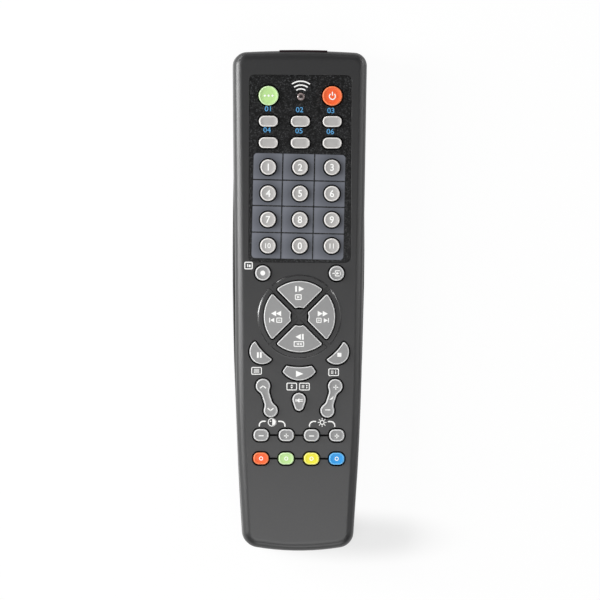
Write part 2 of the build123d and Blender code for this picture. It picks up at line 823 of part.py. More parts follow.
# Battery cover: the same outer form and wall, with two rails and finger grooves
cover_upper = bay_upper - cover_gap
rail_lower = shell_bottom + rail_end_margin
grooves_y = cover_upper - finger_groove_drop - (finger_grooves - 1) * finger_groove_pitch / 2
with BuildPart() as battery_cover:
    add(rear_form.part)
    add(rear_cavity.part, mode=Mode.SUBTRACT)
    add(tail_box(cover_half, cover_upper, shell_bottom, 0, cover_end_height), mode=Mode.INTERSECT)
    add(tail_box(rail_half, cover_upper, rail_lower, rail_low, rail_top))
    with Locations((0, grooves_y, 0)):
        with GridLocations(0, finger_groove_pitch, 1, finger_grooves):
            Box(finger_groove_length, finger_groove_width, 2 * finger_groove_depth, mode=Mode.SUBTRACT)
save(battery_cover.part, "battery_cover")
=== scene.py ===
import json
from math import cos, pi, radians, sin

import bmesh
import bpy
from mathutils import Matrix, Vector


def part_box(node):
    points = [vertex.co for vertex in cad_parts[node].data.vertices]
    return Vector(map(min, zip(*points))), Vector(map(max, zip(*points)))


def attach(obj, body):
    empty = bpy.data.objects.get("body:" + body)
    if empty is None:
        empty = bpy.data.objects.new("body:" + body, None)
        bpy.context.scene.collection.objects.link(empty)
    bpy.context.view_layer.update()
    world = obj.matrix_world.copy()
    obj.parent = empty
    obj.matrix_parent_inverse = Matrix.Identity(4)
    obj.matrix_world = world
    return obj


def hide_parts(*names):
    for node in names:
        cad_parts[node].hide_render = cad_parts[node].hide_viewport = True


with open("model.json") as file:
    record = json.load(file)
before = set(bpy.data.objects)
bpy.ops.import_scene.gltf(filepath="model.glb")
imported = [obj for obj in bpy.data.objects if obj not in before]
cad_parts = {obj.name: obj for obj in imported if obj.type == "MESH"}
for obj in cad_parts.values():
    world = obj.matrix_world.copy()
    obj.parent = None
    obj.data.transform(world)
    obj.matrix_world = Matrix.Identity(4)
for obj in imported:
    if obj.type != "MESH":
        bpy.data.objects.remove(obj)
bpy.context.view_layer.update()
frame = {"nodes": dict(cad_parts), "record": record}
mm = 0.001
bodyOf = {node: body for body, nodes in frame["record"]["behaviour"]["bodies"].items() for node in nodes}
print("frame loaded:", len(frame["nodes"]), "nodes")


def linearColour(code):
    channels = [int(code[i:i + 2], 16) / 255 for i in (1, 3, 5)]
    return [c / 12.92 if c <= 0.04045 else ((c + 0.055) / 1.055) ** 2.4 for c in channels] + [1.0]


def addNode(tree, kind, inputs=None, **settings):
    # One node with its settings; an input is a fixed value, an output, or a node, meaning its first live output
    node = tree.nodes.new(kind)
    for key, value in settings.items():
        setattr(node, key, value)
    for socket, value in (inputs or {}).items():
        if isinstance(value, bpy.types.Node):
            value = next(output for output in value.outputs if output.enabled)
        if isinstance(value, bpy.types.NodeSocket):
            tree.links.new(value, node.inputs[socket])
        else:
            node.inputs[socket].default_value = value
    return node


def newMaterial(name):
    # An empty material, its node tree, and the place of each point on the piece
    material = bpy.data.materials.new(name)
    material.use_nodes = True
    tree = material.node_tree
    tree.nodes.clear()
    return material, tree, addNode(tree, "ShaderNodeTexCoord").outputs["Object"]


def finishMaterial(material, tree, look):
    shader = addNode(tree, "ShaderNodeBsdfPrincipled", look)
    addNode(tree, "ShaderNodeOutputMaterial", {"Surface": shader})
    return material


def shaded(colour, share):
    return [share * c for c in colour[:3]] + [1.0]


def patchyColour(tree, place, size, low, high, detail=2.0, roughness=0.5):
    # A colour that drifts between two in patches about size metres across
    patches = addNode(tree, "ShaderNodeTexNoise",
                      {"Vector": place, "Scale": 1 / size, "Detail": detail, "Roughness": roughness})
    return addNode(tree, "ShaderNodeMix", {0: patches, 6: low, 7: high}, data_type="RGBA")


def grainBump(tree, place, look, normal=None):
    # Relief whose grains are as wide and as deep as the look says, in metres
    grain = addNode(tree, "ShaderNodeTexNoise",
                    {"Vector": place, "Scale": 1 / look["grain"], "Detail": 3.0, "Roughness": 0.55})
    relief = {"Height": grain, "Strength": look["strength"], "Distance": look["depth"]}
    if normal:
        relief["Normal"] = normal
    return addNode(tree, "ShaderNodeBump", relief)


mouldLook = {"pigmentSize": 0.7 * mm, "pigmentShade": 0.6, "depth": 0.01 * mm, "strength": 0.5,
             "edgeRadius": 0.22 * mm, "duller": (-0.05, 0.07)}  # what the grain adds to the roughness
# Painted shade: how far gaps and corners are darkened, by the share of open air above each point
cornerShade = {"reach": 1.4 * mm, "closed": 0.5, "open": 0.92, "shade": 0.3}  # shares of open air above a point


def mouldedAbs(name, colour, grain, roughness, gloss=0.5, coat=0.0):
    # ABS, injection moulded against a spark-eroded tool: an even satin with a fine, slightly sparkling grain,
    # and painted shade that darkens the gaps and corners where little open air lies above
    material, tree, place = newMaterial(name)
    base = linearColour(colour)
    darker = shaded(base, mouldLook["pigmentShade"])
    mottle = patchyColour(tree, place, mouldLook["pigmentSize"], darker, base, detail=3.0, roughness=0.7)
    # painted shade: the less open air above a point, the darker its colour
    nook = addNode(tree, "ShaderNodeAmbientOcclusion", {"Distance": cornerShade["reach"]}, samples=8)
    closed, clear = cornerShade["closed"], cornerShade["open"]
    openness = addNode(tree, "ShaderNodeMapRange", {0: nook.outputs["AO"], 1: closed, 2: clear})
    shadedBase = shaded(base, cornerShade["shade"])
    tone = addNode(tree, "ShaderNodeMix", {0: openness, 6: shadedBase, 7: mottle}, data_type="RGBA")
    fine = addNode(tree, "ShaderNodeTexNoise", {"Vector": place, "Scale": 1 / grain, "Detail": 2.0})
    low, high = (roughness + more for more in mouldLook["duller"])
    sheen = addNode(tree, "ShaderNodeMapRange", {0: fine, 3: low, 4: high})
    edge = addNode(tree, "ShaderNodeBevel", {"Radius": mouldLook["edgeRadius"]}, samples=4)
    bump = grainBump(tree, place, {**mouldLook, "grain": grain}, edge)
    return finishMaterial(material, tree, {
        "Base Color": tone, "Roughness": sheen, "Normal": bump, "IOR": 1.53,
        "Specular IOR Level": gloss, "Coat Weight": coat, "Coat Roughness": 0.2})


speckleLook = {"size": 0.42 * mm, "from": 0.52, "to": 0.72, "print": "#080808", "paintedGlint": "#5c5d5f",
               "grain": 0.35 * mm, "depth": 0.03 * mm, "strength": 0.6}


def specklePanel(name):
    # Textured polycarbonate sheet, printed black on the back, with lighter specks painted in as glints of its
    # texture
    material, tree, place = newMaterial(name)
    speck = addNode(tree, "ShaderNodeTexNoise",
                    {"Vector": place, "Scale": 1 / speckleLook["size"], "Detail": 3.0, "Roughness": 0.7})
    ramp = addNode(tree, "ShaderNodeMapRange", {0: speck, 1: speckleLook["from"], 2: speckleLook["to"]})
    ends = {6: linearColour(speckleLook["print"]), 7: linearColour(speckleLook["paintedGlint"])}
    tone = addNode(tree, "ShaderNodeMix", {0: ramp, **ends}, data_type="RGBA")
    bump = grainBump(tree, place, speckleLook)
    return finishMaterial(material, tree, {"Base Color": tone, "Normal": bump, "IOR": 1.5, "Roughness": 0.28})


inkLook = {"filmSize": 0.5 * mm, "thin": 0.82, "grain": 0.3 * mm, "depth": 0.006 * mm, "strength": 0.4}


def screenPrint(name, colour):
    # Screen-printed ink: flat colour with a slightly uneven film
    material, tree, place = newMaterial(name)
    base = linearColour(colour)
    tone = patchyColour(tree, place, inkLook["filmSize"], shaded(base, inkLook["thin"]), base, detail=3.0)
    bump = grainBump(tree, place, inkLook)
    return finishMaterial(material, tree, {"Base Color": tone, "Normal": bump, "IOR": 1.5, "Roughness": 0.45})


tileLook = {"shadeNearKeys": "#4b4e55", "between": "#6d7079", "fade": (2.8 * mm, 7.2 * mm),  # from a key's middle
            "grain": 0.3 * mm, "depth": 0.008 * mm, "strength": 0.5}


def tilePrint(name, centre, pitch):
    # Screen-printed tiles over a grid of keys, with painted shade that darkens each tile towards its key
    material, tree, place = newMaterial(name)
    shift = [0.5 - c / p for c, p in zip(centre, pitch)] + [0]
    scale = [1 / p for p in pitch] + [0]
    grid = addNode(tree, "ShaderNodeMapping", {"Vector": place, "Location": shift, "Scale": scale})
    cell = addNode(tree, "ShaderNodeVectorMath", {0: grid}, operation="FRACTION")
    fromKey = addNode(tree, "ShaderNodeVectorMath", {0: cell, 1: (0.5, 0.5, 0)}, operation="SUBTRACT")
    real = addNode(tree, "ShaderNodeVectorMath", {0: fromKey, 1: [*pitch, 0]}, operation="MULTIPLY")
    away = addNode(tree, "ShaderNodeVectorMath", {0: real}, operation="LENGTH")
    near, far = tileLook["fade"]
    # painted shade: darker the nearer a key's middle
    fade = addNode(tree, "ShaderNodeMapRange", {0: away, 1: near, 2: far})
    ends = {6: linearColour(tileLook["shadeNearKeys"]), 7: linearColour(tileLook["between"])}
    tone = addNode(tree, "ShaderNodeMix", {0: fade, **ends}, data_type="RGBA")
    bump = grainBump(tree, place, tileLook)
    return finishMaterial(material, tree, {"Base Color": tone, "Normal": bump, "IOR": 1.5, "Roughness": 0.4})


rubberLook = {"mottleSize": 1.6 * mm, "mottleShade": 0.88,
              "grain": 0.25 * mm, "depth": 0.008 * mm, "strength": 0.5}


def siliconeRubber(name, colour, roughness=0.5):
    # Silicone rubber, compression moulded and pigmented through: soft satin, with a faint mottle
    material, tree, place = newMaterial(name)
    base = linearColour(colour)
    tone = patchyColour(tree, place, rubberLook["mottleSize"], shaded(base, rubberLook["mottleShade"]), base)
    bump = grainBump(tree, place, rubberLook)
    return finishMaterial(material, tree, {
        "Base Color": tone, "Normal": bump, "IOR": 1.43, "Roughness": roughness,
        "Coat Weight": 0.15, "Coat Roughness": 0.35})


acrylicLook = {"waveSize": 4 * mm, "dark": "#1d1718", "red": "#2c2023", "edgeRadius": 0.2 * mm}


def smokedAcrylic(name):
    # Acrylic dyed to pass infrared only: almost black, with a deep red cast and a polished face
    material, tree, place = newMaterial(name)
    dark, red = linearColour(acrylicLook["dark"]), linearColour(acrylicLook["red"])
    tone = patchyColour(tree, place, acrylicLook["waveSize"], dark, red, detail=1.0)
    edge = addNode(tree, "ShaderNodeBevel", {"Radius": acrylicLook["edgeRadius"]}, samples=4)
    return finishMaterial(material, tree, {"Base Color": tone, "Normal": edge, "IOR": 1.49, "Roughness": 0.2})


cupLook = {"dark": 0.35, "clear": 0.8}  # shares of the radius, and the shade fades between them


def clearEpoxy(name, colour, deep, centre, radius):
    # Cast epoxy round a die: darker about its centre, where the die's cup lies behind the dome
    material, tree, place = newMaterial(name)
    here = addNode(tree, "ShaderNodeMapping", {"Vector": place, "Location": [-c for c in centre]})
    flat = addNode(tree, "ShaderNodeVectorMath", {0: here, 1: (1, 1, 0)}, operation="MULTIPLY")
    reach = addNode(tree, "ShaderNodeVectorMath", {0: flat}, operation="LENGTH")
    dark, clear = cupLook["dark"] * radius, cupLook["clear"] * radius
    ring = addNode(tree, "ShaderNodeMapRange", {0: reach, 1: dark, 2: clear})
    ends = {6: linearColour(deep), 7: linearColour(colour)}
    tone = addNode(tree, "ShaderNodeMix", {0: ring, **ends}, data_type="RGBA")
    return finishMaterial(material, tree, {
        "Base Color": tone, "IOR": 1.55, "Roughness": 0.15, "Coat Weight": 0.6})


drawnLook = {"stretch": 0.08, "shade": 0.8, "duller": (-0.06, 0.1)}  # of the marks, which run along Y


def platedMetal(name, colour, roughness, grain):
    # Thin sheet or wire with a plated skin: bright metal with faint drawing marks
    material, tree, place = newMaterial(name)
    drawn = addNode(tree, "ShaderNodeMapping", {"Vector": place, "Scale": (1, drawnLook["stretch"], 1)})
    marks = addNode(tree, "ShaderNodeTexNoise", {"Vector": drawn, "Scale": 1 / grain, "Detail": 3.0})
    low, high = (roughness + more for more in drawnLook["duller"])
    sheen = addNode(tree, "ShaderNodeMapRange", {0: marks, 3: low, 4: high})
    base = linearColour(colour)
    ends = {6: shaded(base, drawnLook["shade"]), 7: base}
    tone = addNode(tree, "ShaderNodeMix", {0: marks, **ends}, data_type="RGBA")
    return finishMaterial(material, tree, {"Base Color": tone, "Roughness": sheen, "Metallic": 1.0})


maskLook = {"thread": 0.5 * mm, "dark": "#0c4a22", "light": "#14602e"}


def solderMask(name):
    # Glass-epoxy laminate under green solder mask: weave just shows through the lacquer
    material, tree, place = newMaterial(name)
    waveAtOne = 0.314  # metres from band to band at scale 1
    weave = addNode(tree, "ShaderNodeTexWave",
                    {"Vector": place, "Scale": waveAtOne / maskLook["thread"], "Distortion": 0.4})
    ends = {6: linearColour(maskLook["dark"]), 7: linearColour(maskLook["light"])}
    tone = addNode(tree, "ShaderNodeMix", {0: weave.outputs["Fac"], **ends}, data_type="RGBA")
    return finishMaterial(material, tree, {"Base Color": tone, "IOR": 1.55, "Roughness": 0.3})


sleeveLook = {"filmSize": 2 * mm, "dark": "#22262c", "light": "#2b3038", "copper": "#b06a35"}


def cellSleeve(name, splitY, towards):
    # Shrink sleeve, printed dark with a copper band at the nub end; towards is 1 where the nub points along +Y
    material, tree, place = newMaterial(name)
    parts = addNode(tree, "ShaderNodeSeparateXYZ", {0: place})
    step = addNode(tree, "ShaderNodeMath", {0: parts.outputs["Y"], 1: splitY},
                   operation="GREATER_THAN" if towards > 0 else "LESS_THAN")
    low, high, copper = (linearColour(sleeveLook[shade]) for shade in ("dark", "light", "copper"))
    dark = patchyColour(tree, place, sleeveLook["filmSize"], low, high)
    tone = addNode(tree, "ShaderNodeMix", {0: step, 6: dark, 7: copper}, data_type="RGBA")
    return finishMaterial(material, tree, {"Base Color": tone, "IOR": 1.5, "Roughness": 0.28, "Metallic": 0.35})


def middleOf(node):
    low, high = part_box(node)
    return (low[0] + high[0]) / 2, (low[1] + high[1]) / 2


centreKey = middleOf("number_key_05")
keyPitch = (middleOf("number_key_06")[0] - centreKey[0], centreKey[1] - middleOf("number_key_08")[1])
finishes = {
    "caseAbs": mouldedAbs("caseAbs", "#2b2b2c", 0.22 * mm, 0.38, gloss=0.65),
    "backAbs": mouldedAbs("backAbs", "#2a2a2b", 0.3 * mm, 0.44, gloss=0.65),
    # painted shade: a near-black dull finish for the walls of the key openings and the link grooves
    "gapShadeAbs": mouldedAbs("gapShadeAbs", "#0b0b0c", 0.3 * mm, 0.8, gloss=0.1),
    "rimAbs": mouldedAbs("rimAbs", "#2b2b2c", 0.22 * mm, 0.26, gloss=1.0, coat=1.0),
    "panelSheet": specklePanel("panelSheet"),
    "tileInk": tilePrint("tileInk", centreKey, keyPitch),
    "whiteInk": screenPrint("whiteInk", "#fafaf8"),
    "blueInk": screenPrint("blueInk", "#5aa6dc"),
    "smokedWindow": smokedAcrylic("smokedWindow"),
    "matRubber": siliconeRubber("matRubber", "#8b8b8b", 0.6),
    "board": solderMask("board"),
    "chipEpoxy": mouldedAbs("chipEpoxy", "#1d1d1e", 0.1 * mm, 0.5),
    "canMetal": platedMetal("canMetal", "#c9c9c7", 0.3, 0.5 * mm),
    "nickel": platedMetal("nickel", "#cfccc4", 0.22, 0.3 * mm),
    "blackZinc": platedMetal("blackZinc", "#4a4a4c", 0.35, 0.3 * mm),
}
# Each rim colour is lighter than its bowl's: a painted highlight along the key's edge
keyTones = {  # colour of a key's rim and of its bowl
    "light": ("#e2dfdc", "#aeacaa"), "grey": ("#d4d4d4", "#8f8f8f"), "green": ("#cdeab4", "#b8de92"),
    "red": ("#f88350", "#f2622c"), "yellow": ("#f6f07c", "#ece438"), "blue": ("#69b9f0", "#2b98e0"),
}
for tone, (rimHighlight, bowlColour) in keyTones.items():
    finishes[f"{tone}Rubber"] = siliconeRubber(f"{tone}Rubber", rimHighlight)
    finishes[f"{tone}Face"] = siliconeRubber(f"{tone}Face", bowlColour, 0.55)
print("materials made:", len(finishes))


meshLook = {"join": 0.002 * mm, "poleJoin": 0.001 * mm, "flatWithin": 0.6,  # metres and degrees
            "sliver": 1e-6 * mm * mm}  # square metres


def mergedCopy(node, flatten=True):
    # A node's mesh with its loose triangles joined, and its flat faces made whole again
    bm = bmesh.new()
    bm.from_mesh(frame["nodes"][node].data)
    bmesh.ops.remove_doubles(bm, verts=bm.verts, dist=meshLook["join"])
    if flatten:
        flat = radians(meshLook["flatWithin"])
        bmesh.ops.dissolve_limit(bm, angle_limit=flat, verts=bm.verts, edges=bm.edges)
        bmesh.ops.dissolve_degenerate(bm, dist=meshLook["join"], edges=bm.edges)
    return bm


def joinInto(whole, bm):
    # Adds a bmesh to another and frees it
    mesh = bpy.data.meshes.new("part")
    bm.to_mesh(mesh)
    bm.free()
    whole.from_mesh(mesh)
    bpy.data.meshes.remove(mesh)


def roundEdges(bm, edges, look):
    bmesh.ops.bevel(bm, geom=edges, offset=look["offset"], offset_type="OFFSET", segments=look["segments"],
                    profile=0.5, affect="EDGES", clamp_overlap=True, material=-1)


def makePiece(name, bm, materials, body, nodes=(), crease=32):
    # Turns a bmesh into a piece that rides on a body, smooth except at edges that turn by crease degrees or more
    slivers = {f for f in bm.faces if f.calc_area() < meshLook["sliver"]}
    for edge in bm.edges:
        edge.smooth = (len(edge.link_faces) == 2 and edge.calc_face_angle(pi) < radians(crease)
                       and not slivers.intersection(edge.link_faces))
    for face in bm.faces:
        face.smooth = True
    mesh = bpy.data.meshes.new(name)
    bm.to_mesh(mesh)
    bm.free()
    for material in materials:
        mesh.materials.append(finishes[material])
    piece = bpy.data.objects.new(name, mesh)
    bpy.context.scene.collection.objects.link(piece)
    piece.modifiers.new("evenNormals", "WEIGHTED_NORMAL").keep_sharp = True
    if nodes:
        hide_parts(*nodes)
    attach(piece, body)


keyNodes = [node for node in frame["nodes"] if "_key" in node or "_rocker" in node]
keyBoxes = [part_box(node) for node in keyNodes]
print("keys to fit:", len(keyBoxes))

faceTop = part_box("overlay_panel")[1][2]  # the panel lies flush with the case
padCentre = ((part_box("rewind_key")[0][0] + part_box("forward_key")[1][0]) / 2,
             (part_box("step_back_key")[0][1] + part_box("step_forward_key")[1][1]) / 2)
padRim = {"radius": 15.8 * mm, "widen": 0.24 * mm,  # drawn out, so that the slope catches the light from the left
          "steepest": 0.3, "flattest": 0.95, "slopeReach": 0.4 * mm,  # which faces are its slope
          "footHeight": 0.02 * mm, "footReach": 0.06 * mm}  # which points are the slope's foot
holeEdge = {"draft": 0.27 * mm, "padDraft": 0.16 * mm,
            "margin": 0.6 * mm, "wallDrop": 0.4 * mm, "upright": 0.3, "lip": 0.05 * mm}  # to find its walls
linkGroove = {"rows": ("adjust_key_1", "red_key"), "endKey": "adjust_key_4", "reach": 0.6 * mm,
              "shallowest": 0.02 * mm, "deepest": 1.0 * mm}
windowEdge = {"offset": 0.4 * mm, "segments": 3, "frontReach": 1.2 * mm, "angle": 0.6}  # radians
# The second finish of the front shell and the panel is the painted shade in the openings and grooves
caseFinishes = {  # the outside, the walls of the openings and the pad's slope
    "front_shell": ("caseAbs", "gapShadeAbs", "rimAbs"), "rear_shell": ("backAbs",), "battery_cover": ("backAbs",),
    "overlay_panel": ("panelSheet", "gapShadeAbs"), "ir_window": ("smokedWindow",),
}


def fromPad(point):
    # The way from the middle of the ring pad to a point, along the face
    return Vector((point.x - padCentre[0], point.y - padCentre[1]))


def widenPad(bm):
    for part in bm.faces:
        middle = part.calc_center_median()
        if (padRim["steepest"] < part.normal.z < padRim["flattest"] and middle.z > faceTop
                and abs(fromPad(middle).length - padRim["radius"]) < padRim["slopeReach"]):
            part.material_index = 2
    for vert in bm.verts:
        out = fromPad(vert.co)
        if (abs(vert.co.z - faceTop) < padRim["footHeight"]
                and abs(out.length - padRim["radius"]) < padRim["footReach"]):
            vert.co.xy += out.normalized() * padRim["widen"]


def inKeyHole(point):
    return any(all(low[way] - holeEdge["margin"] < point[way] < high[way] + holeEdge["margin"] for way in (0, 1))
               for low, high in keyBoxes)


def openHoles(bm):
    # Moulded openings have draft: they widen towards the face, and their walls get the near-black gap finish,
    # painted shade
    walls = [f for f in bm.faces if abs(f.normal.z) < holeEdge["upright"]
             and min(v.co.z for v in f.verts) < faceTop - holeEdge["wallDrop"]
             and inKeyHole(f.calc_center_median())]
    outward = {}
    for wall in walls:
        wall.material_index = 1
        for vert in wall.verts:
            if vert.co.z > faceTop - holeEdge["lip"]:
                outward[vert] = outward.get(vert, Vector((0, 0, 0))) - wall.normal
    for vert, way in outward.items():
        way.z = 0
        onPad = fromPad(vert.co).length < padRim["radius"]
        vert.co += way.normalized() * holeEdge["padDraft" if onPad else "draft"]


def shadeLinkGrooves(bm):
    # The thin grooves that join the keys of the two lowest rows get the near-black gap finish, painted shade
    rows = [middleOf(node)[1] for node in linkGroove["rows"]]
    reach = middleOf(linkGroove["endKey"])[0]
    for part in bm.faces:
        middle = part.calc_center_median()
        if (linkGroove["shallowest"] < faceTop - middle.z < linkGroove["deepest"] and abs(middle.x) < reach
                and min(abs(middle.y - row) for row in rows) < linkGroove["reach"]):
            part.material_index = 1


def roundWindow(bm):
    # Polished round edges on the side that shows at the end of the case
    front = max(v.co.y for v in bm.verts) - windowEdge["frontReach"]
    edges = [e for e in bm.edges if len(e.link_faces) == 2 and e.calc_face_angle(0) > windowEdge["angle"]
             and max(v.co.y for v in e.verts) > front]
    roundEdges(bm, edges, windowEdge)


def makeCase():
    for node, materials in caseFinishes.items():
        bm = mergedCopy(node)
        if node in ("front_shell", "overlay_panel"):
            openHoles(bm)
        if node == "front_shell":
            widenPad(bm)
            shadeLinkGrooves(bm)
        if node == "ir_window":
            roundWindow(bm)
        makePiece(f"{node}_dressed", bm, materials, bodyOf[node], [node], crease=22)


makeCase()
print("case made")

keyCap = {
    "rim": 0.25 * mm, "cutShare": 0.95,  # the CAD chamfer's height and width, and how much of it is taken off
    "shoulder": ((0.04, 0.10), (0.06, 0.07), (0.07, 0.05), (0.08, 0.03)),  # inward and upward steps, mm
    "ring": 0.2, "bowl": ((0.22, -0.08), (0.3, -0.05), (0.4, -0.02)),
    "deepBowl": ((0.3, -0.12), (0.4, -0.08), (0.45, -0.03)),  # for the plain round and oval keys
    "slimRing": 0.12, "slimBowl": ((0.05, -0.05),),  # for the keys with tight corners
}
padKeys = ("step_forward_key", "step_back_key", "rewind_key", "forward_key")
slimKeys = (*padKeys, "pause_key", "stop_key", "play_key")
deepKeys = ("mode_", "number_", "set_", "power_", "record_", "input_")
keyColours = {"mode_": "light", "number_": "light", "set_key": "green", "power_key": "red", "red_key": "red",
              "green_key": "green", "yellow_key": "yellow", "blue_key": "blue"}


def insetFace(bm, face, inward, upward):
    return bmesh.ops.inset_individual(bm, faces=[face], thickness=inward * mm, depth=upward * mm,
                                      use_even_offset=True)["faces"]


def makeKey(node):
    # The CAD chamfer is taken off and built again as a rounded shoulder and a ring in the lighter rim colour, a
    # painted highlight, and a shallow bowl
    bm = mergedCopy(node)
    height = max(v.co.z for v in bm.verts)
    upper = [f for f in bm.faces if f.calc_center_median().z > height - keyCap["cutShare"] * keyCap["rim"]]
    bmesh.ops.delete(bm, geom=upper, context="FACES")
    opening = [e for e in bm.edges if e.is_boundary]
    face = bmesh.ops.contextual_create(bm, geom=opening)["faces"][0]
    if face.normal.z < 0:
        face.normal_flip()
    for part in bm.faces:
        part.material_index = 0 if part == face else 1
    for inward, upward in keyCap["shoulder"]:
        insetFace(bm, face, inward, upward)
    slim = node in slimKeys
    insetFace(bm, face, keyCap["slimRing" if slim else "ring"], 0)
    bowl = keyCap["slimBowl" if slim else "deepBowl" if node.startswith(deepKeys) else "bowl"]
    inner = [face]
    for inward, upward in bowl:
        inner += insetFace(bm, face, inward, upward)
    for part in inner:
        part.material_index = 1
    tone = next((tone for start, tone in keyColours.items() if node.startswith(start)), "grey")
    makePiece(f"{node}_cap", bm, [f"{tone}Rubber", f"{tone}Face"], bodyOf[node], [node], crease=50)
    return height + sum(upward for _, upward in bowl) * mm


keyFloor = {node: makeKey(node) for node in keyNodes}
print("keys made:", len(keyFloor))


def moved(bm, verts, x, y, turn=0, width=1, depth=1):
    scaled = Matrix.Rotation(radians(turn), 4, "Z") @ Matrix.Diagonal((width, depth, 1, 1))
    bmesh.ops.transform(bm, matrix=Matrix.Translation((x, y, 0)) @ scaled, verts=verts)


def bar(bm, x, y, width, depth, turn=0):
    made = bmesh.ops.create_grid(bm, x_segments=1, y_segments=1, size=0.5)
    moved(bm, made["verts"], x, y, turn, width, depth)
    return made["verts"]


def disc(bm, x, y, radius, sides=32):
    made = bmesh.ops.create_circle(bm, cap_ends=True, segments=sides, radius=radius)
    moved(bm, made["verts"], x, y)


def wedge(bm, x, y, width, depth, turn=0):
    # A triangle that points along +X, width long and depth high, scaled from one in a circle of radius 1
    made = bmesh.ops.create_circle(bm, cap_ends=True, segments=3, radius=1)
    bmesh.ops.rotate(bm, verts=made["verts"], matrix=Matrix.Rotation(radians(-90), 3, "Z"))
    low = min(v.co.x for v in made["verts"])
    bmesh.ops.translate(bm, verts=made["verts"], vec=(-(low + 1) / 2, 0, 0))
    moved(bm, made["verts"], x, y, turn, width / 1.5, depth / 3 ** 0.5)


def band(bm, x, y, radius, line, start=0, sweep=360, steps=32):
    # A ring or an arc, line wide, about (x, y); angles in degrees from +X
    inner = bm.verts.new((radius - line / 2, 0, 0))
    outer = bm.verts.new((radius + line / 2, 0, 0))
    edge = bm.edges.new((inner, outer))
    whole = sweep == 360
    before = set(bm.verts) - {inner, outer}
    bmesh.ops.spin(bm, geom=[inner, outer, edge], cent=(0, 0, 0), axis=(0, 0, 1), angle=radians(sweep),
                   steps=steps, use_merge=whole, use_duplicate=False)
    verts = [v for v in bm.verts if v not in before]
    moved(bm, verts, x, y, start)


def roundedFrame(bm, x, y, width, depth, corner, line):
    before = set(bm.verts)
    quad = bar(bm, x, y, width, depth)
    bmesh.ops.bevel(bm, geom=quad, offset=corner, segments=4, profile=0.5, affect="VERTICES", material=-1)
    faces = [f for f in bm.faces if all(v not in before for v in f.verts)]
    bmesh.ops.inset_region(bm, faces=faces, thickness=line, depth=0, use_boundary=True, use_even_offset=True)
    bmesh.ops.delete(bm, geom=faces, context="FACES")


figureLook = {"capShare": 0.73, "curveSteps": 4}  # a capital's share of the typeface's size


def digits(bm, x, y, words, height, weight, width):
    # Plain figures from Blender's own typeface, height mm high
    curve = bpy.data.curves.new("figures", "FONT")
    curve.body = words
    curve.size = height / figureLook["capShare"]
    curve.offset = weight
    curve.align_x = "CENTER"
    curve.resolution_u = figureLook["curveSteps"]
    holder = bpy.data.objects.new("figures", curve)
    bpy.context.scene.collection.objects.link(holder)
    bpy.context.view_layer.update()
    mesh = bpy.data.meshes.new_from_object(holder)
    before = set(bm.verts)
    bm.from_mesh(mesh)
    bpy.data.objects.remove(holder)
    bpy.data.meshes.remove(mesh)
    verts = [v for v in bm.verts if v not in before]
    xs, ys = [v.co.x for v in verts], [v.co.y for v in verts]
    bmesh.ops.translate(bm, verts=verts, vec=(-(min(xs) + max(xs)) / 2, -(min(ys) + max(ys)) / 2, 0))
    moved(bm, verts, x, y, 0, width)


inkFilm = {"above": 0.025, "below": 0.01, "join": 0.0005}  # mm
shapes = {"bar": bar, "disc": disc, "wedge": wedge, "band": band, "frame": roundedFrame, "digits": digits}


def raiseInk(bm, centre, height):
    # Makes flat shapes in mm a closed film at a height in metres, about a centre in metres
    bmesh.ops.remove_doubles(bm, verts=bm.verts, dist=inkFilm["join"])
    tops = bmesh.ops.extrude_face_region(bm, geom=list(bm.faces), use_keep_orig=True)["geom"]
    tops = [v for v in tops if isinstance(v, bmesh.types.BMVert)]
    bmesh.ops.translate(bm, verts=bm.verts, vec=(0, 0, -inkFilm["below"]))
    bmesh.ops.translate(bm, verts=tops, vec=(0, 0, inkFilm["above"] + inkFilm["below"]))
    bmesh.ops.recalc_face_normals(bm, faces=bm.faces)
    bmesh.ops.scale(bm, vec=(mm, mm, mm), verts=bm.verts)
    bmesh.ops.translate(bm, verts=bm.verts, vec=(*centre, height))


def printMarks(name, rows, ink, node, centre=(0, 0), height=faceTop):
    # Each row is a shape, its place and its sizes in mm, as the shape's own function takes them
    bm = bmesh.new()
    for shape, *sizes in rows:
        shapes[shape](bm, *sizes)
    raiseInk(bm, centre, height)
    makePiece(name, bm, [ink], bodyOf[node])


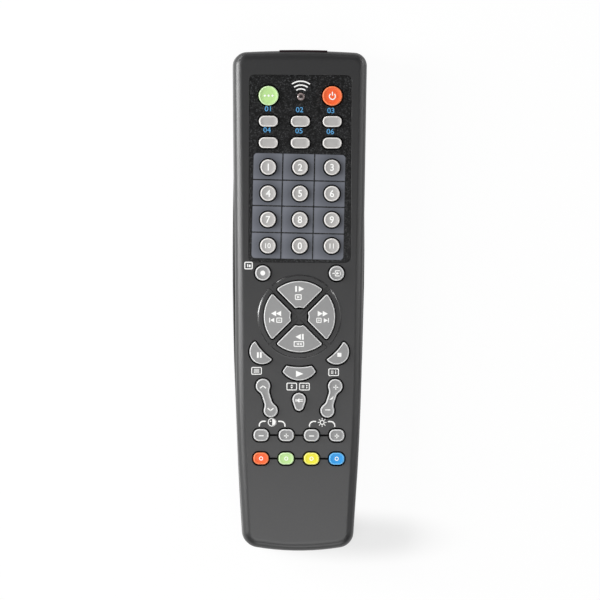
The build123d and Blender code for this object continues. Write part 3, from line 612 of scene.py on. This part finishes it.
plusMark = (("bar", 0, -0.25, 1.7, 0.4), ("bar", 0, -0.25, 0.4, 1.7))
minusMark = (("bar", 0, -0.25, 1.9, 0.4),)
ringMark = (("band", 0, 0, 0.62, 0.3, 0, 360, 20),)
keyMarks = {
    "play_key": (("wedge", 0.15, 0, 2.8, 2.4),),
    "pause_key": (("bar", -0.55, 0, 0.68, 2.15), ("bar", 0.55, 0, 0.68, 2.15)),
    "stop_key": (("bar", 0, 0, 1.55, 1.5),),
    "record_key": (("disc", 0, 0, 0.95),),
    "input_key": (("frame", 0.5, 0, 2.3, 2.3, 0.35, 0.32), ("bar", -0.9, 0, 1.7, 0.36),
                  ("wedge", 0.5, 0, 1.1, 1.15)),
    "power_key": (("band", 0, -0.15, 1.15, 0.42, 127, 286, 26), ("bar", 0, 0.85, 0.42, 1.5)),
    "set_key": [("disc", x, 0, 0.42, 20) for x in (-1.45, 0, 1.45)],
    "mute_key": (("bar", -1.15, 0, 0.5, 0.9), ("wedge", -0.55, 0, 1.3, 1.7, 180),
                 ("bar", 0.75, 0.3, 1.3, 0.3), ("bar", 0.75, -0.3, 1.3, 0.3)),
    "adjust_key_1": minusMark, "adjust_key_2": plusMark, "adjust_key_3": minusMark, "adjust_key_4": plusMark,
    "red_key": ringMark, "green_key": ringMark, "yellow_key": ringMark, "blue_key": ringMark,
    "programme_rocker": (("bar", -1.99, 4.2, 1.5, 0.42, 38), ("bar", -0.91, 4.2, 1.5, 0.42, -38),
                         ("bar", 0.91, -4.3, 1.5, 0.42, -38), ("bar", 1.99, -4.3, 1.5, 0.42, 38)),
    "volume_rocker": (("bar", 1.6, 4.2, 1.9, 0.36), ("bar", 1.6, 4.2, 0.36, 1.9),
                      ("wedge", 0.1, -0.1, 2.4, 1.25, 205), ("bar", -1.4, -4.4, 2.0, 0.36)),
    # The four keys of the pad: places from the pad's middle
    "step_forward_key": (("bar", -1.37, 10.53, 0.7, 2.2), ("wedge", 0.65, 10.53, 2.0, 2.2),
                         ("frame", -0.5, 7.43, 2.5, 2.1, 0.3, 0.36), ("wedge", -0.4, 7.43, 1.0, 1.0)),
    "step_back_key": (("wedge", -0.49, -7.63, 2.05, 2.2, 180), ("bar", 1.27, -7.63, 0.7, 2.2),
                      ("frame", -0.2, -10.35, 3.95, 2.1, 0.3, 0.34),
                      ("wedge", -0.75, -10.35, 1.0, 0.9, 180), ("wedge", 0.35, -10.35, 1.0, 0.9, 180)),
    "rewind_key": (("wedge", -9.85, 1.18, 1.95, 2.1, 180), ("wedge", -7.95, 1.18, 1.95, 2.1, 180),
                   ("bar", -11.35, -1.35, 0.34, 1.8), ("wedge", -10.35, -1.35, 1.5, 1.7, 180),
                   ("frame", -7.7, -1.35, 2.2, 1.95, 0.25, 0.34), ("bar", -7.7, -1.35, 0.9, 0.26)),
    "forward_key": (("wedge", 7.85, 1.18, 1.95, 2.1), ("wedge", 9.75, 1.18, 1.95, 2.1),
                    ("frame", 7.35, -1.35, 2.0, 1.95, 0.25, 0.34), ("bar", 7.35, -1.35, 0.9, 0.26),
                    ("bar", 7.35, -1.35, 0.26, 0.9), ("wedge", 9.95, -1.35, 1.5, 1.7),
                    ("bar", 10.95, -1.35, 0.34, 1.8)),
}
markShift = {"pause_key": (-0.35, -0.75), "stop_key": (0.35, -0.55), "mute_key": (0.0, 0.55)}  # mm off the middle
numberPrint = {"figures": ("1", "2", "3", "4", "5", "6", "7", "8", "9", "10", "0", "11"),
               "single": (2.7, 0.06), "double": (2.0, 0.035), "width": 0.98}  # height and weight, mm
for place, figure in enumerate(numberPrint["figures"]):
    height, weight = numberPrint["single" if len(figure) == 1 else "double"]
    keyMarks[f"number_key_{place + 1:02d}"] = (("digits", 0, 0, figure, height, weight, numberPrint["width"]),)
for node, rows in keyMarks.items():
    centre = padCentre if node in padKeys else middleOf(node)
    centre = [c + shift * mm for c, shift in zip(centre, markShift.get(node, (0, 0)))]
    printMarks(f"{node}_mark", rows, "whiteInk", node, centre, keyFloor[node])
print("key marks printed")

labelPrint = {"height": 2.05, "weight": 0.02, "width": 1.05,  # mm, and a share of the typeface's own width
              "places": ((-12.35, 72.6), (-0.3, 72.3), (11.55, 72.05),
                         (-12.6, 64.6), (-0.5, 64.3), (11.4, 64.1))}
labels = [("digits", x, y, f"0{place + 1}", labelPrint["height"], labelPrint["weight"], labelPrint["width"])
          for place, (x, y) in enumerate(labelPrint["places"])]
printMarks("mode_labels", labels, "blueInk", "overlay_panel")

wavePrint = {"centre": (0.15, 77.35), "radii": (2.85, 4.3, 5.75), "line": 0.48, "halfAngle": 36.5, "steps": 16}
start, sweep = 90 - wavePrint["halfAngle"], 2 * wavePrint["halfAngle"]
waves = [("band", *wavePrint["centre"], radius, wavePrint["line"], start, sweep, wavePrint["steps"])
         for radius in wavePrint["radii"]]
printMarks("signal_waves", waves, "whiteInk", "overlay_panel")

tileField = {"centre": (-0.55, 35.6), "size": (34.8, 39.8), "turn": -1.0, "corner": 1.5, "line": 0.5,
             "columnLines": (-6.3, 5.75), "rowLines": (-10.1, 0.0, 9.85), "cornerCuts": (15, 45, 75),
             "cutShare": 0.99, "cutWithin": 1e-6, "levelAbove": 0.9, "sink": 0.012}  # mm, degrees and shares


def cutAway(bm, point, normal):
    # Cuts the flat sheet along a line and clears the side that the normal points to
    bmesh.ops.bisect_plane(bm, geom=list(bm.verts) + list(bm.edges) + list(bm.faces), clear_outer=True,
                           dist=tileField["cutWithin"], plane_co=(*point, 0), plane_no=(*normal, 0))


def spans(length, lines):
    # Where each strip between the lines across a length starts and ends, half a line's width away from them
    half, gap = length / 2, tileField["line"] / 2
    return list(zip([-half, *(line + gap for line in lines)], [*(line - gap for line in lines), half]))


def printTiles():
    # The tiles are cut from the panel's own top face, so that they end at the key holes
    width, depth = tileField["size"]
    sheet = mergedCopy("overlay_panel", flatten=False)
    openHoles(sheet)
    other = [f for f in sheet.faces if f.normal.z < tileField["levelAbove"]]
    bmesh.ops.delete(sheet, geom=other, context="FACES")
    bmesh.ops.translate(sheet, verts=sheet.verts, vec=(0, 0, -faceTop))
    bmesh.ops.scale(sheet, vec=(1 / mm, 1 / mm, 1), verts=sheet.verts)
    toField = Matrix.Rotation(radians(-tileField["turn"]), 4, "Z") @ Matrix.Translation(
        [-c for c in tileField["centre"]] + [0])
    bmesh.ops.transform(sheet, matrix=toField, verts=sheet.verts)
    tiles = bmesh.new()
    for left, right in spans(width, tileField["columnLines"]):
        for foot, head in spans(depth, tileField["rowLines"]):
            tile = sheet.copy()
            cutAway(tile, (left, 0), (-1, 0))
            cutAway(tile, (right, 0), (1, 0))
            cutAway(tile, (0, foot), (0, -1))
            cutAway(tile, (0, head), (0, 1))
            joinInto(tiles, tile)
    sheet.free()
    corner = tileField["corner"]
    reach = corner / cos(radians(tileField["cornerCuts"][0])) * tileField["cutShare"]
    for side, end in ((-1, -1), (-1, 1), (1, -1), (1, 1)):  # round off the field's four corners
        middle = Vector((side * (width / 2 - corner), end * (depth / 2 - corner)))
        for angle in tileField["cornerCuts"]:
            normal = Vector((side * cos(radians(angle)), end * sin(radians(angle))))
            cutAway(tiles, middle + normal * reach, normal)
    bmesh.ops.transform(tiles, matrix=toField.inverted(), verts=tiles.verts)
    raiseInk(tiles, (0, 0), faceTop - tileField["sink"] * mm)
    makePiece("number_tiles", tiles, ["tileInk"], bodyOf["overlay_panel"])


printTiles()
print("panel printed")

iconFrame = ("frame", 0, 0, 4.0, 2.9, 0.5, 0.34)
textLines = [("bar", -0.55, step, 0.95, 0.24) for step in (-0.45, 0, 0.45)]
pageLines = [("bar", 0, step, 2.1, 0.2) for step in (-0.6, -0.2, 0.2, 0.6)]
sunRays = [("bar", 1.35 * cos(radians(turn)), 1.35 * sin(radians(turn)), 0.62, 0.26, turn)
           for turn in range(0, 360, 45)]
icons = (  # place, then rows about it, in mm: menu, page, info, size, split, disc and sun
    ((-19.4, 13.1), (("frame", 0, 0, 3.2, 2.9, 0.5, 0.4), ("bar", -0.35, 0, 0.4, 1.2),
                     ("bar", 0.45, -0.1, 0.7, 1.0))),
    ((-16.17, -26.8), (iconFrame, *pageLines)),
    ((13.07, -27.2), (iconFrame, *textLines, ("disc", 0.75, 0.5, 0.22, 12), ("bar", 0.75, -0.25, 0.36, 0.85))),
    ((-2.79, -32.7), (iconFrame, ("wedge", 0, -0.5, 0.7, 0.95, -90), ("wedge", 0, 0.5, 0.7, 0.95, 90))),
    ((2.03, -32.7), (iconFrame, *textLines, ("disc", 0.85, -0.42, 0.27, 12), ("disc", 0.85, 0.42, 0.27, 12))),
    ((-10.14, -46.25), (("band", 0, 0, 1.5, 0.3, 0, 360, 28), ("band", 0, 0, 0.825, 1.5, -90, 180, 14),
                        ("disc", -0.62, 0.35, 0.26, 12))),
    ((8.81, -46.25), (("band", 0, 0, 0.75, 0.32, 0, 360, 20), *sunRays)),
)
bracketPrint = {"line": 0.48, "corner": 1.6, "top": -45.9, "foot": -47.9,
                "places": ((-15.05, -12.6, -7.9, -5.3), (4.0, 6.5, 11.0, 13.6))}  # leg, gap start, gap end, leg


def bracketRows():
    line, corner, top, foot = (bracketPrint[size] for size in ("line", "corner", "top", "foot"))
    rows = []
    for left, gapStart, gapEnd, right in bracketPrint["places"]:
        for leg, inner, side in ((left, gapStart, -1), (right, gapEnd, 1)):
            turnX = leg - side * corner
            rows += [("bar", leg, (top - corner + foot) / 2, line, top - corner - foot),
                     ("band", turnX, top - corner, corner, line, 90 if side < 0 else 0, 90, 8),
                     ("bar", (turnX + inner) / 2, top, abs(turnX - inner), line)]
    return rows


iconRows = [(shape, left + x, up + y, *sizes) for (left, up), rows in icons for shape, x, y, *sizes in rows]
printMarks("case_marks", iconRows + bracketRows(), "whiteInk", "front_shell")
print("case printed")


def spun(profile, steps):
    # A closed lathe form about Z from (radius, height) points that start and end on the axis
    bm = bmesh.new()
    verts = [bm.verts.new((r, 0, z)) for r, z in profile]
    edges = [bm.edges.new(pair) for pair in zip(verts, verts[1:])]
    bmesh.ops.spin(bm, geom=verts + edges, cent=(0, 0, 0), axis=(0, 0, 1), angle=2 * pi, steps=steps,
                   use_merge=True, use_duplicate=False)
    bmesh.ops.remove_doubles(bm, verts=bm.verts, dist=meshLook["poleJoin"])
    bmesh.ops.recalc_face_normals(bm, faces=bm.faces)
    return bm


def domed(look, tall):
    # The outline of a cast emitter or lamp: a collar, a straight side and a round dome up to its tip
    radius, collar, foot = look["radius"], look["collarRadius"], look["collarHeight"]
    side = tall - look["domeRise"]
    outline = [(0, 0), (collar, 0), (collar, foot), (radius, foot), (radius, side)]
    for step in range(1, look["domeSteps"]):
        angle = step * pi / 2 / look["domeSteps"]
        outline.append((radius * cos(angle), side + look["domeRise"] * sin(angle)))
    return outline + [(0, tall)]


lampShape = {"radius": 1.45 * mm, "collarRadius": 1.95 * mm, "collarHeight": 0.8 * mm, "domeRise": 0.45 * mm,
             "domeSteps": 6, "steps": 40, "pale": "#938583", "deep": "#2e2827"}


def makeLamp():
    low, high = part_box("indicator_led")
    centre = (*middleOf("indicator_led"), 0)
    bm = spun(domed(lampShape, high[2] - low[2]), lampShape["steps"])
    bmesh.ops.translate(bm, verts=bm.verts, vec=(centre[0], centre[1], low[2]))
    finishes["lampEpoxy"] = clearEpoxy("lampEpoxy", lampShape["pale"], lampShape["deep"], centre,
                                       lampShape["radius"])
    makePiece("indicator_lamp", bm, ["lampEpoxy"], bodyOf["indicator_led"], ["indicator_led"])


emitterShape = {"radius": 1.5 * mm, "collarRadius": 1.9 * mm, "collarHeight": 1.0 * mm, "domeRise": 0.9 * mm,
                "domeSteps": 6, "steps": 36,
                "leadWidth": 0.5 * mm, "leadLength": 4 * mm, "leadSpacing": 1.27 * mm,
                "pale": "#8d8fa8", "deep": "#3d3c55", "tintReach": 1.0}  # so wide a reach tints it all through


def makeEmitters():
    low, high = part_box("ir_leds")
    collar, width, length = (emitterShape[size] for size in ("collarRadius", "leadWidth", "leadLength"))
    back = low[1] + length
    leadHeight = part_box("circuit_board")[1][2] + width / 2
    whole = bmesh.new()
    for x in (low[0] + collar, high[0] - collar):
        bm = spun(domed(emitterShape, high[1] - back), emitterShape["steps"])
        bmesh.ops.rotate(bm, verts=bm.verts, matrix=Matrix.Rotation(radians(-90), 3, "X"))
        bmesh.ops.translate(bm, verts=bm.verts, vec=(x, back, high[2] - collar))
        for side in (-0.5, 0.5):
            lead = bmesh.ops.create_cube(bm, size=1)["verts"]
            there = Matrix.Translation((x + side * emitterShape["leadSpacing"], back - length / 2, leadHeight))
            bmesh.ops.transform(bm, matrix=there @ Matrix.Diagonal((width, length, width, 1)), verts=lead)
        joinInto(whole, bm)
    finishes["emitterEpoxy"] = clearEpoxy("emitterEpoxy", emitterShape["pale"], emitterShape["deep"], (0, 0, 0),
                                          emitterShape["tintReach"])
    makePiece("emitters", whole, ["emitterEpoxy"], bodyOf["ir_leds"], ["ir_leds"])


makeLamp()
makeEmitters()

cellShape = {"crimp": 0.45 * mm, "crimpShare": 0.3, "nubRadius": 1.9 * mm, "nubLength": 1.0 * mm,
             "nubRound": 0.3 * mm, "endInset": 0.9 * mm, "endStep": 0.15 * mm, "bandShare": 0.28, "steps": 56}


def makeCell(node, towards):
    low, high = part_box(node)
    axisX, axisZ = (low[0] + high[0]) / 2, (low[2] + high[2]) / 2
    radius, length = (high[0] - low[0]) / 2, high[1] - low[1]
    can = length - cellShape["nubLength"]
    crimp, stepDown = cellShape["crimp"], cellShape["endStep"]
    turned = cellShape["crimpShare"] * crimp
    inset = radius - cellShape["endInset"]
    nub, nubRound = cellShape["nubRadius"], cellShape["nubRound"]
    outline = [(0, stepDown), (inset, stepDown), (inset + stepDown, 0), (radius - crimp, 0),
               (radius - turned, turned), (radius, crimp), (radius, can - crimp), (radius - turned, can - turned),
               (radius - crimp, can), (inset, can), (inset - stepDown, can - stepDown), (nub, can - stepDown),
               (nub, length - nubRound), (nub - nubRound, length), (0, length)]
    bm = spun(outline, cellShape["steps"])
    bmesh.ops.rotate(bm, verts=bm.verts, matrix=Matrix.Rotation(radians(-90 * towards), 3, "X"))
    start = low[1] if towards > 0 else high[1]
    bmesh.ops.translate(bm, verts=bm.verts, vec=(axisX, start, axisZ))
    for face in bm.faces:  # bare metal ends inside the sleeve
        middle = face.calc_center_median()
        fromAxis = Vector((middle.x - axisX, middle.z - axisZ)).length
        face.material_index = 1 if fromAxis < inset + stepDown else 0
    split = start + towards * can * (1 - cellShape["bandShare"])
    finishes[f"{node}Sleeve"] = cellSleeve(f"{node}Sleeve", split, towards)
    makePiece(f"{node}_cell", bm, [f"{node}Sleeve", "nickel"], bodyOf[node], [node])


makeCell("battery_left", 1)
makeCell("battery_right", -1)

springShape = {"wide": 3.0 * mm, "narrow": 2.2 * mm, "wire": 0.35 * mm, "length": 5 * mm, "turns": 3.5,
               "stepsPerTurn": 24, "wireSides": 8}  # wire is its radius


def makeSprings():
    low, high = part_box("battery_springs")
    wide, wire, turns = (springShape[size] for size in ("wide", "wire", "turns"))
    length = springShape["length"] - 2 * wire
    steps = int(turns * springShape["stepsPerTurn"])
    taper = 1 - springShape["narrow"] / wide
    whole = bmesh.new()
    for x, plateY, inward in ((low[0] + wide, low[1], 1), (high[0] - wide, high[1], -1)):
        bm = bmesh.new()
        bmesh.ops.create_circle(bm, cap_ends=True, segments=springShape["wireSides"], radius=wire)
        bmesh.ops.rotate(bm, verts=bm.verts, matrix=Matrix.Rotation(radians(90), 3, "X"))
        bmesh.ops.translate(bm, verts=bm.verts, vec=(wide - wire, 0, 0))
        bmesh.ops.spin(bm, geom=list(bm.verts) + list(bm.edges) + list(bm.faces), cent=(0, 0, 0), axis=(0, 0, 1),
                       dvec=(0, 0, length / steps), angle=turns * 2 * pi, steps=steps, use_duplicate=False)
        for vert in bm.verts:
            vert.co.xy *= 1 - taper * min(max(vert.co.z / length, 0), 1)
        bmesh.ops.recalc_face_normals(bm, faces=bm.faces)
        bmesh.ops.rotate(bm, verts=bm.verts, matrix=Matrix.Rotation(radians(-90 * inward), 3, "X"))
        bmesh.ops.translate(bm, verts=bm.verts, vec=(x, plateY + inward * wire, (low[2] + high[2]) / 2))
        joinInto(whole, bm)
    makePiece("contact_coils", whole, ["nickel"], bodyOf["battery_springs"], ["battery_springs"], crease=60)


screwEdge = {"offset": 0.15 * mm, "segments": 2, "rimHeight": 0.01 * mm}


def makeScrews():
    bm = mergedCopy("case_screws")
    low = min(v.co.z for v in bm.verts) + screwEdge["rimHeight"]
    rim = [e for e in bm.edges if len(e.link_faces) == 2 and all(v.co.z < low for v in e.verts)]
    roundEdges(bm, rim, screwEdge)
    makePiece("case_screws_dressed", bm, ["blackZinc"], bodyOf["case_screws"], ["case_screws"])


makeSprings()
makeScrews()
plainFinishes = {"keypad_mat": "matRubber", "circuit_board": "board", "controller_chip": "chipEpoxy",
                 "resonator": "canMetal", "capacitor": "canMetal", "contact_plates": "nickel"}
for node, finish in plainFinishes.items():
    mesh = frame["nodes"][node].data
    mesh.materials.clear()
    mesh.materials.append(finishes[finish])
print("small parts made")

floorLook = {
    "size": 6.0, "shade": "#f2f2f2", "drop": 0.0002, "lift": 0.95,  # metres, and the paper's share of glow
    "bayMiddle": (0, -52 * mm, 0), "bayHalf": (16 * mm, 40 * mm, 1),
    "shadowMiddle": (24 * mm, -90 * mm, 0), "shadowHalf": (46 * mm, 12 * mm, 1), "shadowFade": (0.2, 1.0),
    "shadowLift": 0.6,
}


def makeFloor():
    # Pale paper that the camera sees as white, with some of the shadow kept
    material, tree, place = newMaterial("palePaper")
    ray = addNode(tree, "ShaderNodeLightPath").outputs
    seen = {0: ray["Is Camera Ray"], 1: ray["Is Glossy Ray"]}
    seen = addNode(tree, "ShaderNodeMath", seen, operation="MAXIMUM")
    seen = addNode(tree, "ShaderNodeMath", {0: seen, 1: ray["Is Transmission Ray"]}, operation="MAXIMUM")
    share = addNode(tree, "ShaderNodeMath", {0: seen, 1: floorLook["lift"]}, operation="MULTIPLY")
    # Not lifted under the cell bay, where the paper shows through when the cover is open
    bay = addNode(tree, "ShaderNodeVectorMath", {0: place, 1: floorLook["bayMiddle"]}, operation="SUBTRACT")
    bay = addNode(tree, "ShaderNodeVectorMath", {0: bay}, operation="ABSOLUTE")
    bay = addNode(tree, "ShaderNodeVectorMath", {0: bay, 1: floorLook["bayHalf"]}, operation="DIVIDE")
    bay = addNode(tree, "ShaderNodeSeparateXYZ", {0: bay}).outputs
    bay = addNode(tree, "ShaderNodeMath", {0: bay["X"], 1: bay["Y"]}, operation="MAXIMUM")
    bay = addNode(tree, "ShaderNodeMath", {0: bay, 1: 1.0}, operation="GREATER_THAN")
    share = addNode(tree, "ShaderNodeMath", {0: share, 1: bay}, operation="MULTIPLY")
    # Lifted less beside the lower end, so that the shadow there stays
    spot = addNode(tree, "ShaderNodeVectorMath", {0: place, 1: floorLook["shadowMiddle"]}, operation="SUBTRACT")
    spot = addNode(tree, "ShaderNodeVectorMath", {0: spot, 1: floorLook["shadowHalf"]}, operation="DIVIDE")
    spot = addNode(tree, "ShaderNodeVectorMath", {0: spot}, operation="LENGTH")
    inner, outer = floorLook["shadowFade"]
    fade = {0: spot, 1: inner, 2: outer, 3: floorLook["shadowLift"], 4: 1.0}
    spot = addNode(tree, "ShaderNodeMapRange", fade, interpolation_type="SMOOTHSTEP")
    share = addNode(tree, "ShaderNodeMath", {0: share, 1: spot}, operation="MULTIPLY")
    paper = addNode(tree, "ShaderNodeBsdfDiffuse", {"Color": linearColour(floorLook["shade"])})
    glow = addNode(tree, "ShaderNodeEmission", {"Color": (1, 1, 1, 1), "Strength": 1.0})
    shader = addNode(tree, "ShaderNodeMixShader", {0: share, 1: paper, 2: glow})
    addNode(tree, "ShaderNodeOutputMaterial", {"Surface": shader})
    bm = bmesh.new()
    bmesh.ops.create_grid(bm, x_segments=1, y_segments=1, size=floorLook["size"] / 2)
    mesh = bpy.data.meshes.new("floor")
    bm.to_mesh(mesh)
    bm.free()
    mesh.materials.append(material)
    floor = bpy.data.objects.new("floor", mesh)
    floor.location.z = -floorLook["drop"]
    bpy.context.scene.collection.objects.link(floor)


lamps = {  # metres and watts
    "leftBox": {"place": (-0.56, 0.13, 0.28), "aim": (0, 0.03, 0.01), "size": (0.25, 0.5), "power": 5.9},
    "overBox": {"place": (0.0, -0.2, 0.5), "aim": (0, -0.2, 0.0), "size": (0.35, 0.3), "power": 0.95},
    "rightFill": {"place": (0.6, 0.1, 0.35), "aim": (0, 0, 0.01), "size": (0.3, 0.5), "power": 1.1},
    "headFill": {"place": (0.12, 0.6, 0.3), "aim": (0, 0, 0.01), "size": (0.5, 0.12), "power": 0.12},
    "headLeft": {"place": (-0.36, 0.48, 0.1), "aim": (0, 0, 0.02), "size": (0.2, 0.08), "power": 0.7},
    "headRight": {"place": (0.5, 0.34, 0.1), "aim": (0, 0, 0.02), "size": (0.2, 0.08), "power": 0.7},
    "footFill": {"place": (0.05, -0.6, 0.3), "aim": (0, -0.05, 0.01), "size": (0.4, 0.25), "power": 0.9},
}
surround = {"colour": "#ffffff", "strength": 0.08}


def makeLamps():
    for name, look in lamps.items():
        light = bpy.data.lights.new(name, "AREA")
        light.shape = "RECTANGLE"
        light.size, light.size_y = look["size"]
        light.energy = look["power"]
        holder = bpy.data.objects.new(name, light)
        holder.location = look["place"]
        way = Vector(look["aim"]) - Vector(look["place"])
        holder.rotation_euler = way.to_track_quat("-Z", "Y").to_euler()
        bpy.context.scene.collection.objects.link(holder)
    world = bpy.data.worlds.new("softRoom")
    bpy.context.scene.world = world
    world.use_nodes = True
    backdrop = world.node_tree.nodes["Background"]
    backdrop.inputs["Color"].default_value = linearColour(surround["colour"])
    backdrop.inputs["Strength"].default_value = surround["strength"]


view = {"pixelsPerMm": 2.637, "framePixels": 600, "distance": 4.0, "farthest": 20,  # metres
        "leanLeft": 1.8, "roll": 0.26,  # degrees
        "aim": (0.19 * mm, 0.13 * mm, 22.5 * mm), "sensor": 36.0}


def makeCamera():
    width = view["framePixels"] / view["pixelsPerMm"] * mm
    camera = bpy.data.cameras.new("camera")
    camera.sensor_width = view["sensor"]
    camera.lens = view["sensor"] * view["distance"] / width
    camera.clip_end = view["farthest"]
    holder = bpy.data.objects.new("camera", camera)
    lean = radians(view["leanLeft"])
    away = Vector((-sin(lean), 0, cos(lean)))
    holder.location = Vector(view["aim"]) + away * view["distance"]
    right = Vector((cos(lean), 0, sin(lean)))
    upright = Matrix((right, Vector((0, 1, 0)), away)).transposed()
    holder.rotation_euler = (upright @ Matrix.Rotation(radians(view["roll"]), 3, "Z")).to_euler()
    bpy.context.scene.collection.objects.link(holder)
    bpy.context.scene.camera = holder


makeFloor()
makeLamps()
makeCamera()
bpy.context.scene.view_settings.view_transform = "Standard"
print("stage set")
